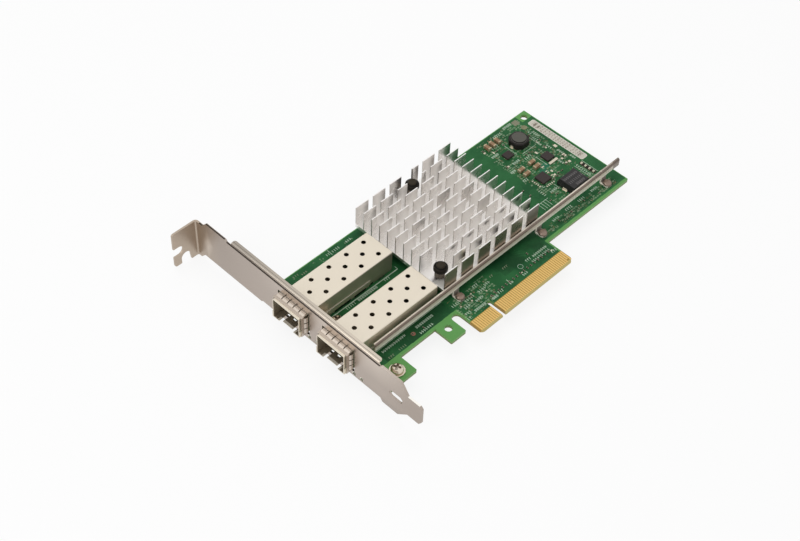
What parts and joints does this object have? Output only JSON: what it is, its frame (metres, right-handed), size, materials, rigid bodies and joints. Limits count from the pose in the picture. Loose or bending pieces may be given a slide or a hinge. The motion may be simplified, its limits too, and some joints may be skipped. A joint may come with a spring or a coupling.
{
  "type": "network interface card",
  "caption": "Server network card: low board with gold edge contacts, cages for optical modules through a folded steel bracket, pin-fin heat sink and a stiffener rail.",
  "frame": {"origin": "centre of the key notch in the edge contacts, on the contact edge, at the component face of the board", "axes": "+X from the bracket along the board to its far end, +Y across the board away from the edge contacts, +Z out of the component side"},
  "size_m": [0.1589, 0.12, 0.0211],
  "materials": {
    "solder_mask": "satin green lacquer over glass-fibre board",
    "gold": "hard gold plating",
    "bracket_steel": "nickel-plated sheet steel",
    "cage_steel": "bright tin-plated sheet",
    "collar_steel": "spring strip",
    "socket_plastic": "moulded black",
    "tin": "tinned",
    "sink_aluminium": "clear anodised",
    "pin_nylon": "moulded black nylon",
    "spring_steel": "drawn wire",
    "chip_body": "moulded package",
    "pad_rubber": "thermal pad",
    "rail_steel": "plated sheet steel",
    "screw_steel": "plated",
    "ferrite": "pressed ferrite",
    "capacitor_ceramic": "fired ceramic",
    "lamp_lens": "clear resin",
    "label_paper": "coated paper"
  },
  "bodies": {
    "root": {"board_label": "label_paper", "ceramic_capacitors": "capacitor_ceramic", "circuit_board": "solder_mask", "contacts_component_side": "gold", "contacts_solder_side": "gold", "controller_chip": "chip_body", "face_bracket": "bracket_steel", "frame_screw_washers": "screw_steel", "frame_screws": "screw_steel", "heat_sink": "sink_aluminium", "inductor_terminals": "tin", "inner_frame": "bracket_steel", "module_terminals": "tin", "port_cage_1": "cage_steel", "port_cage_2": "cage_steel", "port_lamps": "lamp_lens", "port_socket_1": "socket_plastic", "port_socket_2": "socket_plastic", "port_tray_1": "cage_steel", "port_tray_2": "cage_steel", "power_inductor": "ferrite", "power_module": "chip_body", "push_pin_springs": "spring_steel", "push_pins": "pin_nylon", "rail_screws": "screw_steel", "regulator_chips": "chip_body", "shunt_resistor": "tin", "small_chip_parts": "capacitor_ceramic", "socket_contacts_1": "gold", "socket_contacts_2": "gold", "spring_collar_1": "collar_steel", "spring_collar_2": "collar_steel", "status_lamps": "lamp_lens", "stiffener_rail": "rail_steel", "thermal_pad": "pad_rubber"}
  },
  "joints": []
}
